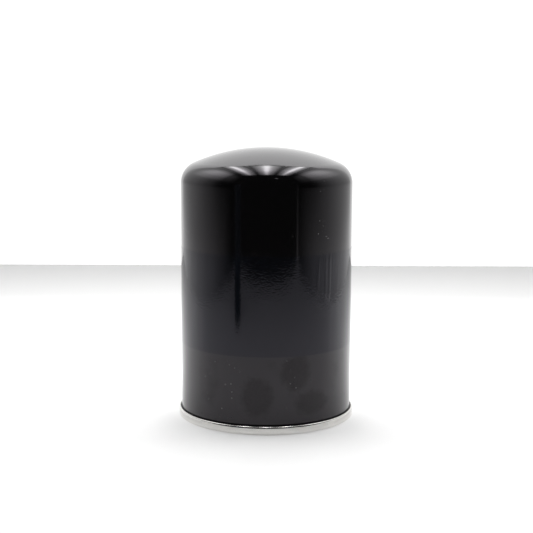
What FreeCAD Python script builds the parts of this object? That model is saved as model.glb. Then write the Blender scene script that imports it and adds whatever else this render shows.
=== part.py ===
"""Spin-on oil filter, standing on its gasket with its closed end up.

The origin is the centre of the gasket's sealing face and +Z runs up the can. Sizes are in millimetres.
Every physical piece is written to its own file in parts/.
"""

import FreeCAD, Part

import math
import os

Vector = FreeCAD.Vector
UP = Vector(0, 0, 1)
ORIGIN = Vector(0, 0, 0)

# ---- driving dimensions: can and rolled seam ----
CAN_RADIUS = 45.0
OVERALL_HEIGHT = 141.5
CAN_SHEET = 0.4
KNUCKLE_RADIUS = 11.5
DOME_RADIUS = 94.4
LID_SHEET = 0.38
SEAM_GAP = 0.02
SEAM_FOOT_Z = 0.12
SEAM_TOP_Z = 4.05
HOOK_OVERLAP_Z = (1.3, 3.3)
NECK_SWELL = 0.27
NECK_LEAN_DEG = 33.0
NECK_Z = 4.35
NECK_BENDS = (0.3, 1.35)
COMPOUND_SECTION = (0.28, 0.25)

# ---- label ----
LABEL_Z = (39.4, 89.8)
LABEL_FILM = 0.08
LABEL_LAP_DEG = 8.0

# ---- mounting face: gasket, gasket groove, threaded plate ----
GASKET_INNER = 31.0
GASKET_OUTER = 35.5
GASKET_HEIGHT = 5.4
GASKET_EDGE = 0.6
GROOVE_INNER = 30.8
GROOVE_OUTER = 35.9
LID_PANEL_Z = 2.6
LID_LIP_Z = 1.2
LID_LIP_RADIUS = 28.8
PLATE_THICKNESS = 3.2
PLATE_RADIUS = 42.0
DISH_DEPTH = 2.25
DISH_RADII = (25.5, 28.8)
THREAD_MINOR_RADIUS = 8.7
HUB_RADIUS = 13.0
HUB_TOP_Z = 13.0
THREAD_CHAMFER = 0.85
INLET_COUNT = 8
INLET_RADIUS = 3.5
INLET_CIRCLE_RADIUS = 20.0

# ---- anti-drain membrane ----
MEMBRANE_RING = (10.2, 15.4)
MEMBRANE_RING_HEIGHT = 1.6
MEMBRANE_SKIRT = (13.05, 14.7)
MEMBRANE_SKIRT_HEIGHT = 2.4
MEMBRANE_LIP_RADIUS = 31.4

# ---- filter element ----
CAP_SHEET = 0.5
CAP_RADIUS = 39.6
CAP_RIM = 4.6
CAP_NECK_RADIUS = 10.4
CAP_NECK_HEIGHT = 2.8
ELEMENT_HEIGHT = 104.5
TUBE_RADIUS = 16.5
TUBE_SHEET = 0.5
TUBE_HOLE_RADIUS = 2.25
TUBE_HOLES_PER_ROW = 12
TUBE_ROWS = 12
PLEATS = 52
PLEAT_INNER = 17.4
PLEAT_OUTER = 37.8
PAPER = 0.7
FOLD_RADIUS = 0.6
POTTING_DEPTH = 4.0
POTTING_FLOOR = 1.0
CLIP_SHEET = 0.4
CLIP_GRIP = 5.0
CLIP_GAP = 0.03

# ---- bypass valve ----
CAGE_SHEET = 0.5
CAGE_BODY_RADIUS = 10.45
CAGE_FLANGE_RADIUS = 14.9
CAGE_DEPTH = 16.1
CAGE_WINDOWS = 4
CAGE_WINDOW_DEG = 52.0
CAGE_WINDOW_HEIGHT = 8.5
CAP_VALVE_HOLE = 10.7
SEAT_SHEET = 0.6
SEAT_ORIFICE = 7.0
SEAT_DROP = 1.6
POPPET_RADIUS = 9.3
POPPET_DISC = 1.2
STEM_RADIUS = 2.42
GUIDE_RADIUS = 2.5
SEAL_RADII = (5.0, 9.2)
SEAL_THICKNESS = 1.2
BYPASS_WIRE = 1.0
BYPASS_COIL_RADIUS = 5.5
BYPASS_TURNS = 5

# ---- element support spring ----
SUPPORT_WIRE = 2.4
SUPPORT_COIL_RADIUS = 17.0
SUPPORT_TURNS = 4
SPRING_CLEARANCE = 0.06

# ---- derived levels ----
DOME_CENTRE_Z = OVERALL_HEIGHT - DOME_RADIUS
KNUCKLE_CENTRE_R = CAN_RADIUS - KNUCKLE_RADIUS
KNUCKLE_CENTRE_Z = DOME_CENTRE_Z + math.sqrt((DOME_RADIUS - KNUCKLE_RADIUS) ** 2 - KNUCKLE_CENTRE_R**2)
NECK_RADIUS = CAN_RADIUS + NECK_SWELL
CHUCK_RADIUS = NECK_RADIUS - CAN_SHEET - SEAM_GAP - LID_SHEET / 2
COVER_HOOK_RADIUS = NECK_RADIUS + SEAM_GAP + LID_SHEET / 2
BODY_HOOK_RADIUS = COVER_HOOK_RADIUS + LID_SHEET / 2 + SEAM_GAP + CAN_SHEET / 2
SEAM_WALL_RADIUS = BODY_HOOK_RADIUS + CAN_SHEET / 2 + SEAM_GAP + LID_SHEET / 2
LID_CEILING_Z = GASKET_HEIGHT + LID_SHEET
PLATE_TOP_Z = LID_CEILING_Z + PLATE_THICKNESS
DISH_FLOOR_Z = LID_CEILING_Z - DISH_DEPTH
DISH_TOP_Z = DISH_FLOOR_Z + PLATE_THICKNESS
ELEMENT_Z = HUB_TOP_Z + MEMBRANE_RING_HEIGHT
ELEMENT_TOP_Z = ELEMENT_Z + ELEMENT_HEIGHT
CAP_FLOOR_Z = ELEMENT_Z + CAP_SHEET
CAP_CEILING_Z = ELEMENT_TOP_Z - CAP_SHEET
CAGE_FLANGE_TOP_Z = ELEMENT_TOP_Z + CAGE_SHEET
SEAT_TOP_Z = CAGE_FLANGE_TOP_Z + SEAT_SHEET
SEAT_EDGE_Z = SEAT_TOP_Z - SEAT_SHEET - SEAT_DROP
CAGE_FLOOR_TOP_Z = ELEMENT_TOP_Z - CAGE_DEPTH
POPPET_TOP_Z = SEAT_EDGE_Z - SEAL_THICKNESS
POPPET_BOTTOM_Z = POPPET_TOP_Z - POPPET_DISC


# ---- drawing helpers ----
def on_section(point):
    """Puts a (radius, height) point on the section plane through the axis."""
    return Vector(point.x, 0, point.y)


def left_of(direction):
    """The unit vector to the left of a flat direction."""
    return Vector(-direction.y, direction.x, 0)


def line(a, b):
    return Part.LineSegment(a, b).toShape()


def rounded_corner(before, at, after, bend):
    """The two directions at a corner, with the tangent arc that rounds it."""
    into = (at - before).normalize()
    out = (after - at).normalize()
    turn = math.atan2(into.x * out.y - into.y * out.x, into.dot(out))
    tangent = bend * math.tan(abs(turn) / 2)
    start = at - into * tangent
    end = at + out * tangent
    centre = start + left_of(into) * math.copysign(bend, turn)
    return into, out, turn, start, end, centre


def offset_edges(path, bends, side):
    """The section edges of a centre line, moved to its left by side. Each corner is rounded by its bend."""
    edges = []
    last = path[0] + left_of((path[1] - path[0]).normalize()) * side
    for before, at, after, bend in zip(path, path[1:], path[2:], bends):
        into, out, turn, start, end, centre = rounded_corner(before, at, after, bend)
        start = start + left_of(into) * side
        end = end + left_of(out) * side
        middle = centre + (at - centre).normalize() * (bend - math.copysign(side, turn * side))
        if last.distanceToPoint(start) > 1e-6:
            edges.append(line(on_section(last), on_section(start)))
        edges.append(Part.Arc(on_section(start), on_section(middle), on_section(end)).toShape())
        last = end
    finish = path[-1] + left_of((path[-1] - path[-2]).normalize()) * side
    edges.append(line(on_section(last), on_section(finish)))
    return edges


def face_between(near, far):
    """The face between two open chains of edges that run the same way."""
    caps = [
        line(near[0].firstVertex().Point, far[0].firstVertex().Point),
        line(near[-1].lastVertex().Point, far[-1].lastVertex().Point),
    ]
    return Part.Face(Part.Wire(Part.__sortEdges__(near + far + caps)))


def strip_face(path, bends, thickness):
    """The section of a sheet-metal strip that follows a bent centre line."""
    path = [Vector(u, v, 0) for u, v in path]
    half = thickness / 2
    return face_between(offset_edges(path, bends, half), offset_edges(path, bends, -half))


def polygon_face(points):
    corners = [Vector(u, 0, v) for u, v in points]
    return Part.Face(Part.makePolygon(corners + corners[:1]))


def spun(face, degrees=360):
    """A section face turned about the filter's axis."""
    return face.revolve(ORIGIN, UP, degrees)


def ring(inner, outer, low, high):
    return spun(polygon_face([(inner, low), (outer, low), (outer, high), (inner, high)]))


def sheet_ring(path, bends, thickness):
    return spun(strip_face(path, bends, thickness))


def round_copies(shape, count, start=0.0):
    """Copies of a shape spaced evenly about the axis."""
    copies = []
    for i in range(count):
        copy = shape.copy()
        copy.rotate(ORIGIN, UP, start + 360.0 * i / count)
        copies.append(copy)
    return copies


def coil(wire, radius, low, high, turns):
    """A round-wire coil between two levels of its wire's outside. Its section is two half circles."""
    rise = high - low - wire
    path = Part.makeHelix(rise / turns, rise, radius)
    path.translate(Vector(0, 0, low + wire / 2))
    begin = path.Edges[0]
    along = begin.tangentAt(begin.FirstParameter)
    circle = Part.Circle(begin.valueAt(begin.FirstParameter), along, wire / 2)
    section = Part.Wire([circle.toShape(0, math.pi), circle.toShape(math.pi, 2 * math.pi)])
    return Part.Wire(path.Edges).makePipeShell([section], True, True)


# ---- can, seam and label ----
def dome_edges(inset):
    """The dome and knuckle of the can, this far inside its outer surface, from the axis to the wall."""
    sphere = DOME_RADIUS - inset
    knuckle = KNUCKLE_RADIUS - inset
    lean = math.atan2(KNUCKLE_CENTRE_Z - DOME_CENTRE_Z, KNUCKLE_CENTRE_R)

    def on_sphere(angle):
        return Vector(sphere * math.cos(angle), 0, DOME_CENTRE_Z + sphere * math.sin(angle))

    def on_knuckle(angle):
        return Vector(KNUCKLE_CENTRE_R + knuckle * math.cos(angle), 0, KNUCKLE_CENTRE_Z + knuckle * math.sin(angle))

    quarter = math.pi / 2
    dome = Part.Arc(on_sphere(quarter), on_sphere((quarter + lean) / 2), on_sphere(lean))
    shoulder = Part.Arc(on_knuckle(lean), on_knuckle(lean / 2), on_knuckle(0))
    return [dome.toShape(), shoulder.toShape()]


def housing_can():
    """Deep-drawn can whose open end swells a little into the seam and is hooked into it."""
    half = CAN_SHEET / 2
    wall, neck = CAN_RADIUS - half, NECK_RADIUS - half
    foot = SEAM_FOOT_Z + LID_SHEET + SEAM_GAP + half
    neck_foot_z = NECK_Z - NECK_SWELL / math.tan(math.radians(NECK_LEAN_DEG))
    hook = [
        (BODY_HOOK_RADIUS, HOOK_OVERLAP_Z[1]),
        (BODY_HOOK_RADIUS, foot),
        (neck, foot),
        (neck, neck_foot_z),
        (wall, NECK_Z),
        (wall, KNUCKLE_CENTRE_Z),
    ]
    hook = [Vector(u, v, 0) for u, v in hook]
    curl = (BODY_HOOK_RADIUS - neck) / 2
    bends = [curl, curl, *NECK_BENDS]
    outside, inside = offset_edges(hook, bends, -half), offset_edges(hook, bends, half)
    outer_dome, inner_dome = dome_edges(0), dome_edges(CAN_SHEET)
    tip = line(outside[0].firstVertex().Point, inside[0].firstVertex().Point)
    top = line(Vector(0, 0, OVERALL_HEIGHT), Vector(0, 0, OVERALL_HEIGHT - CAN_SHEET))
    edges = outside + inside + outer_dome + inner_dome + [tip, top]
    return spun(Part.Face(Part.Wire(Part.__sortEdges__(edges))))


def label_band():
    """Plain film label, wrapped round the can with a short lap at the back."""
    film = ring(CAN_RADIUS, CAN_RADIUS + LABEL_FILM, *LABEL_Z)
    inner, outer = CAN_RADIUS + LABEL_FILM, CAN_RADIUS + 2 * LABEL_FILM
    low, high = LABEL_Z
    lap = spun(polygon_face([(inner, low), (outer, low), (outer, high), (inner, high)]), LABEL_LAP_DEG)
    lap.rotate(ORIGIN, UP, 90 - LABEL_LAP_DEG / 2)
    return film.fuse(lap)


def seaming_lid():
    """Plated lid: cover hook, rolled seam wall, chuck wall, panel, gasket groove and inner lip."""
    curl = (SEAM_WALL_RADIUS - COVER_HOOK_RADIUS) / 2
    half = LID_SHEET / 2
    top, foot = SEAM_TOP_Z - half, SEAM_FOOT_Z + half
    panel, ceiling = LID_PANEL_Z + half, GASKET_HEIGHT + half
    path = [
        (COVER_HOOK_RADIUS, HOOK_OVERLAP_Z[0]),
        (COVER_HOOK_RADIUS, top),
        (SEAM_WALL_RADIUS, top),
        (SEAM_WALL_RADIUS, foot),
        (CHUCK_RADIUS, foot),
        (CHUCK_RADIUS, panel),
        (GROOVE_OUTER + half, panel),
        (GROOVE_OUTER + half, ceiling),
        (GROOVE_INNER - half, ceiling),
        (GROOVE_INNER - half, LID_LIP_Z + half),
        (LID_LIP_RADIUS, LID_LIP_Z + half),
    ]
    bends = [curl, curl, 0.25, 0.6, 0.8, 0.9, 0.7, 0.5, 0.6]
    return sheet_ring(path, bends, LID_SHEET)


def seam_compound():
    """Bead of sealing compound left in the curl of the seam."""
    width, height = COMPOUND_SECTION
    low = HOOK_OVERLAP_Z[1]
    return ring(BODY_HOOK_RADIUS - width / 2, BODY_HOOK_RADIUS + width / 2, low, low + height)


# ---- mounting end ----
def tapping_plate():
    """Thick threaded plate with a drawn hub and a ring of oil inlets. Its bore is the thread's minor diameter."""
    inner_dish, outer_dish = DISH_RADII
    bore, cut = THREAD_MINOR_RADIUS, THREAD_CHAMFER
    section = [
        (bore, DISH_FLOOR_Z + cut),
        (bore + cut, DISH_FLOOR_Z),
        (inner_dish, DISH_FLOOR_Z),
        (outer_dish, LID_CEILING_Z),
        (PLATE_RADIUS - 0.6, LID_CEILING_Z),
        (PLATE_RADIUS, LID_CEILING_Z + 0.6),
        (PLATE_RADIUS, PLATE_TOP_Z - 0.3),
        (PLATE_RADIUS - 0.3, PLATE_TOP_Z),
        (outer_dish - 0.9, PLATE_TOP_Z),
        (inner_dish - 0.9, DISH_TOP_Z),
        (HUB_RADIUS + 1.2, DISH_TOP_Z),
        (HUB_RADIUS + 0.35, DISH_TOP_Z + 0.35),
        (HUB_RADIUS, DISH_TOP_Z + 1.2),
        (HUB_RADIUS, HUB_TOP_Z),
        (bore + cut / 2, HUB_TOP_Z),
        (bore, HUB_TOP_Z - cut / 2),
    ]
    inlet = Part.makeCylinder(INLET_RADIUS, 4 * PLATE_THICKNESS, Vector(INLET_CIRCLE_RADIUS, 0, 0))
    return spun(polygon_face(section)).cut(round_copies(inlet, INLET_COUNT))


def mounting_gasket():
    """Square-cut sealing ring with eased edges on its sealing face."""
    inner, outer, edge = GASKET_INNER, GASKET_OUTER, GASKET_EDGE
    path = [(inner, GASKET_HEIGHT), (inner, 0), (outer, 0), (outer, GASKET_HEIGHT)]
    path = [Vector(u, v, 0) for u, v in path]
    sides = offset_edges(path, [edge, edge], 0)
    top = line(on_section(path[-1]), on_section(path[0]))
    return spun(Part.Face(Part.Wire(Part.__sortEdges__(sides + [top]))))


def anti_drain_membrane():
    """Moulded rubber check valve: a ring clamped on the hub, and a cone whose lip covers the inlets."""
    ring_inner, ring_outer = MEMBRANE_RING
    skirt_inner, skirt_outer = MEMBRANE_SKIRT
    skirt_z = HUB_TOP_Z - MEMBRANE_SKIRT_HEIGHT
    lip = MEMBRANE_LIP_RADIUS
    section = [
        (ring_inner, HUB_TOP_Z),
        (skirt_inner, HUB_TOP_Z),
        (skirt_inner, skirt_z),
        (skirt_outer, skirt_z),
        (skirt_outer + 0.9, skirt_z + 0.7),
        (lip - 2.0, PLATE_TOP_Z + 0.2),
        (lip - 0.9, PLATE_TOP_Z),
        (lip - 0.1, PLATE_TOP_Z),
        (lip, PLATE_TOP_Z + 0.45),
        (lip - 1.8, PLATE_TOP_Z + 1.1),
        (skirt_outer + 1.2, HUB_TOP_Z - 0.2),
        (ring_outer, HUB_TOP_Z + 0.5),
        (ring_outer, ELEMENT_Z),
        (ring_inner, ELEMENT_Z),
    ]
    return spun(polygon_face(section))


# ---- filter element ----
def lower_end_cap():
    """Steel cap with a neck for the stud and a rim that holds the adhesive."""
    half = CAP_SHEET / 2
    neck, rim, floor = CAP_NECK_RADIUS + half, CAP_RADIUS - half, ELEMENT_Z + half
    path = [(neck, floor + CAP_NECK_HEIGHT), (neck, floor), (rim, floor), (rim, floor + CAP_RIM)]
    return sheet_ring(path, [0.8, 1.2], CAP_SHEET)


def upper_end_cap():
    """Steel cap with a seat for the bypass valve."""
    half = CAP_SHEET / 2
    rim, top = CAP_RADIUS - half, ELEMENT_TOP_Z - half
    return sheet_ring([(CAP_VALVE_HOLE, top), (rim, top), (rim, top - CAP_RIM)], [1.2], CAP_SHEET)


def centre_tube():
    """Perforated steel tube that keeps the pleats from collapsing."""
    tube = ring(TUBE_RADIUS - TUBE_SHEET, TUBE_RADIUS, CAP_FLOOR_Z, CAP_CEILING_Z)
    first, last = CAP_FLOOR_Z + 9.0, CAP_CEILING_Z - 9.0
    hole = Part.makeCylinder(TUBE_HOLE_RADIUS, 4, Vector(TUBE_RADIUS - 2, 0, 0), Vector(1, 0, 0))
    holes = []
    for row in range(TUBE_ROWS):
        level = hole.copy()
        level.translate(Vector(0, 0, first + (last - first) * row / (TUBE_ROWS - 1)))
        stagger = 180.0 / TUBE_HOLES_PER_ROW * (row % 2)
        holes += round_copies(level, TUBE_HOLES_PER_ROW, stagger)
    return tube.cut(holes)


def fold_centres():
    """The centres of the outer fold on the X axis and of the inner fold next to it."""
    reach = PLEAT_INNER + FOLD_RADIUS
    outer = Vector(PLEAT_OUTER - FOLD_RADIUS, 0, 0)
    return outer, Vector(reach * math.cos(math.pi / PLEATS), reach * math.sin(math.pi / PLEATS), 0)


def leg_normal():
    """The outward normal of the straight leg of paper between those two folds."""
    outer, inner = fold_centres()
    across = inner - outer
    lean = math.acos(2 * FOLD_RADIUS / across.Length)
    heading = math.atan2(across.y, across.x) - lean
    return Vector(math.cos(heading), math.sin(heading), 0)


def outer_fold(side):
    """The arc of an outer fold, this far outside the paper's middle."""
    centre, normal = fold_centres()[0], leg_normal()
    radius = FOLD_RADIUS + side
    end = centre + normal * radius
    return Part.Arc(Vector(end.x, -end.y, 0), centre + Vector(radius, 0, 0), end).toShape()


def inner_fold(side):
    """The arc of the inner fold that follows it."""
    centre, normal = fold_centres()[1], leg_normal()
    radius = FOLD_RADIUS - side
    start = centre - normal * radius
    end = Vector(start.x, -start.y, 0)
    end = FreeCAD.Rotation(UP, 360 / PLEATS).multVec(end)
    return Part.Arc(start, centre - Vector(centre).normalize() * radius, end).toShape()


def paper_outline(side):
    """One face of the pleated paper as a closed outline."""
    folds = []
    for i in range(PLEATS):
        for fold in (outer_fold(side), inner_fold(side)):
            fold.rotate(ORIGIN, UP, 360 * i / PLEATS)
            folds.append(fold)
    ends = [(fold.Vertexes[0].Point, fold.Vertexes[-1].Point) for fold in folds]
    legs = [line(ends[i - 1][1], ends[i][0]) for i in range(len(ends))]
    return Part.Wire(Part.__sortEdges__(folds + legs))


def pleated_media():
    """Resin-bonded paper, pleated round the tube."""
    outlines = [paper_outline(PAPER / 2), paper_outline(-PAPER / 2)]
    section = Part.makeFace(outlines, "Part::FaceMakerBullseye")
    low = CAP_FLOOR_Z + POTTING_FLOOR
    section.translate(Vector(0, 0, low))
    return section.extrude(Vector(0, 0, CAP_CEILING_Z - POTTING_FLOOR - low))


def clip_outline(side):
    """The clip's outline round the fold, with both its legs."""
    fold, normal = outer_fold(side), leg_normal()
    along = Vector(-normal.y, normal.x, 0) * CLIP_GRIP
    begin, end = fold.Vertexes[0].Point, fold.Vertexes[-1].Point
    return [line(begin + Vector(along.x, -along.y, 0), begin), fold, line(end, end + along)]


def media_seam_clip():
    """Folded steel strip over the pleat where the paper's two ends meet."""
    near = PAPER / 2 + CLIP_GAP
    section = face_between(clip_outline(near), clip_outline(near + CLIP_SHEET))
    low = CAP_FLOOR_Z + POTTING_DEPTH
    section.translate(Vector(0, 0, low))
    return section.extrude(Vector(0, 0, CAP_CEILING_Z - POTTING_DEPTH - low))


def potting(low, high, cap, media):
    """Adhesive cast in an end cap round the ends of the pleats."""
    return ring(TUBE_RADIUS, CAP_RADIUS - CAP_SHEET, low, high).cut([cap, media])


# ---- bypass valve ----
def bypass_cage():
    """Windowed steel cage that hangs in the tube, with its flange crimped over the seat plate."""
    half = CAGE_SHEET / 2
    flange, floor = ELEMENT_TOP_Z + half, CAGE_FLOOR_TOP_Z - half
    crimp = SEAT_TOP_Z + SEAM_GAP + half
    wall, rim = CAGE_BODY_RADIUS - half, CAGE_FLANGE_RADIUS - half
    path = [
        (rim - 1.7, crimp),
        (rim, crimp),
        (rim, flange),
        (wall, flange),
        (wall, floor),
        (GUIDE_RADIUS, floor),
    ]
    cage = sheet_ring(path, [0.4, 0.4, 0.4, 1.2], CAGE_SHEET)
    low = CAGE_FLOOR_TOP_Z + 2.6
    high = low + CAGE_WINDOW_HEIGHT
    inner, outer = wall - 1, wall + 1
    window = spun(polygon_face([(inner, low), (outer, low), (outer, high), (inner, high)]), CAGE_WINDOW_DEG)
    return cage.cut(round_copies(window, CAGE_WINDOWS, 45))


def bypass_seat_plate():
    """Stamped ring whose turned-down edge is the valve seat."""
    half = SEAT_SHEET / 2
    level = SEAT_TOP_Z - half
    path = [(SEAT_ORIFICE + half, SEAT_EDGE_Z), (SEAT_ORIFICE + half, level), (CAGE_FLANGE_RADIUS - 0.8, level)]
    return sheet_ring(path, [0.7], SEAT_SHEET)


def bypass_poppet():
    """Moulded valve disc with a guide stem, and a button that holds the seal washer."""
    boss = SEAL_RADII[0] - 0.05
    section = [
        (0, POPPET_BOTTOM_Z - 15.6),
        (STEM_RADIUS - 0.5, POPPET_BOTTOM_Z - 15.6),
        (STEM_RADIUS, POPPET_BOTTOM_Z - 15.1),
        (STEM_RADIUS, POPPET_BOTTOM_Z - 3.0),
        (BYPASS_COIL_RADIUS - 1.9, POPPET_BOTTOM_Z - 1.8),
        (BYPASS_COIL_RADIUS - 1.9, POPPET_BOTTOM_Z),
        (POPPET_RADIUS - 0.3, POPPET_BOTTOM_Z),
        (POPPET_RADIUS, POPPET_BOTTOM_Z + 0.3),
        (POPPET_RADIUS, POPPET_TOP_Z),
        (boss, POPPET_TOP_Z),
        (boss, SEAT_EDGE_Z),
        (boss + 0.55, SEAT_EDGE_Z),
        (boss, SEAT_EDGE_Z + 0.7),
        (0, SEAT_EDGE_Z + 0.7),
    ]
    return spun(polygon_face(section))


def bypass_seal():
    return ring(*SEAL_RADII, POPPET_TOP_Z, SEAT_EDGE_Z)


def bypass_spring():
    low, high = CAGE_FLOOR_TOP_Z + SPRING_CLEARANCE, POPPET_BOTTOM_Z - SPRING_CLEARANCE
    return coil(BYPASS_WIRE, BYPASS_COIL_RADIUS, low, high, BYPASS_TURNS)


def support_spring():
    """Coil that presses the element down from the inside of the dome."""
    reach = DOME_RADIUS - CAN_SHEET - SUPPORT_WIRE / 2 - SPRING_CLEARANCE
    head = DOME_CENTRE_Z + math.sqrt(reach**2 - SUPPORT_COIL_RADIUS**2) + SUPPORT_WIRE / 2
    return coil(SUPPORT_WIRE, SUPPORT_COIL_RADIUS, ELEMENT_TOP_Z + SPRING_CLEARANCE, head, SUPPORT_TURNS)


def build():
    """Every piece by its node name."""
    media = pleated_media()
    lower_cap, upper_cap = lower_end_cap(), upper_end_cap()
    lower_potting = potting(CAP_FLOOR_Z, CAP_FLOOR_Z + POTTING_DEPTH, lower_cap, media)
    upper_potting = potting(CAP_CEILING_Z - POTTING_DEPTH, CAP_CEILING_Z, upper_cap, media)
    return {
        "housing_can": housing_can(),
        "label_band": label_band(),
        "seaming_lid": seaming_lid(),
        "seam_compound": seam_compound(),
        "tapping_plate": tapping_plate(),
        "mounting_gasket": mounting_gasket(),
        "anti_drain_membrane": anti_drain_membrane(),
        "lower_end_cap": lower_cap,
        "lower_potting": lower_potting,
        "pleated_media": media,
        "media_seam_clip": media_seam_clip(),
        "centre_tube": centre_tube(),
        "upper_end_cap": upper_cap,
        "upper_potting": upper_potting,
        "bypass_cage": bypass_cage(),
        "bypass_seat_plate": bypass_seat_plate(),
        "bypass_poppet": bypass_poppet(),
        "bypass_seal": bypass_seal(),
        "bypass_spring": bypass_spring(),
        "support_spring": support_spring(),
    }


def main():
    os.makedirs("parts", exist_ok=True)
    for name, shape in build().items():
        print(f"{name}: {shape.ShapeType}, {len(shape.Solids)} solid, valid {shape.isValid()}, {shape.Volume:.1f} mm3")
        shape.exportStep(f"parts/{name}.step")


main()
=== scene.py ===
"""Spin-on oil filter on a white table in a light tent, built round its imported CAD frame.

Sizes are in metres in the part's own frame: the gasket's sealing face is at z = 0 and the dome points up.
"""

import logging
import math
from collections.abc import Sequence
from dataclasses import dataclass, field
from enum import Enum

import bmesh
import bpy
from mathutils import Matrix, Vector


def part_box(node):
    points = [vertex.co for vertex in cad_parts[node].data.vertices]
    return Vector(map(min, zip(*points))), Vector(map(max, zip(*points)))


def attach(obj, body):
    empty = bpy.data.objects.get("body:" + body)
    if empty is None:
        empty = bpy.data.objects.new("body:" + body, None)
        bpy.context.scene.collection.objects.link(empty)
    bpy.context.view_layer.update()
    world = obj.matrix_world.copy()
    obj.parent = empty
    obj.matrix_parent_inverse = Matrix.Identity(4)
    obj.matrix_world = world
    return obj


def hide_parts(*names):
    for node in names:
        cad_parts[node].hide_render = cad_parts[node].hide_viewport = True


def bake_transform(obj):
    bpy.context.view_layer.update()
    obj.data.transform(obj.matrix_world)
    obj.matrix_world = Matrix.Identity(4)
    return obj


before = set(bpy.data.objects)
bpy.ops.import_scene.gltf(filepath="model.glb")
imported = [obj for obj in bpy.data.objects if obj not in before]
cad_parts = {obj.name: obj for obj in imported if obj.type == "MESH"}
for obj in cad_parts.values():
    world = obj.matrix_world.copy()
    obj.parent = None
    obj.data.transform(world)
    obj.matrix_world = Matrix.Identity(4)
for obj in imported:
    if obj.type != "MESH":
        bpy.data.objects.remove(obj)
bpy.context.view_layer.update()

LOG = logging.getLogger("oil_filter")
MM = 0.001
TURN = 2 * math.pi

Mesh = bmesh.types.BMesh
Thing = bpy.types.Object
Material = bpy.types.Material
Socket = bpy.types.NodeSocket
Triple = tuple[float, float, float]
Value = Socket | float | Triple
Inputs = dict[str | int, Value]
Span = tuple[float, float]
Stops = Sequence[Span]
Faces = list[bmesh.types.BMFace]


class Body(Enum):
    """The rigid bodies of the filter."""

    HOUSING = "housing"
    ELEMENT = "element"
    BYPASS = "bypass_valve"
    DRAIN = "drain_valve"


class NoiseKind(Enum):
    """How a noise pattern's octaves are added up."""

    FINE = "FBM"
    RIDGED = "RIDGED_MULTIFRACTAL"


Ends = tuple[Body, Body]


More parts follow.
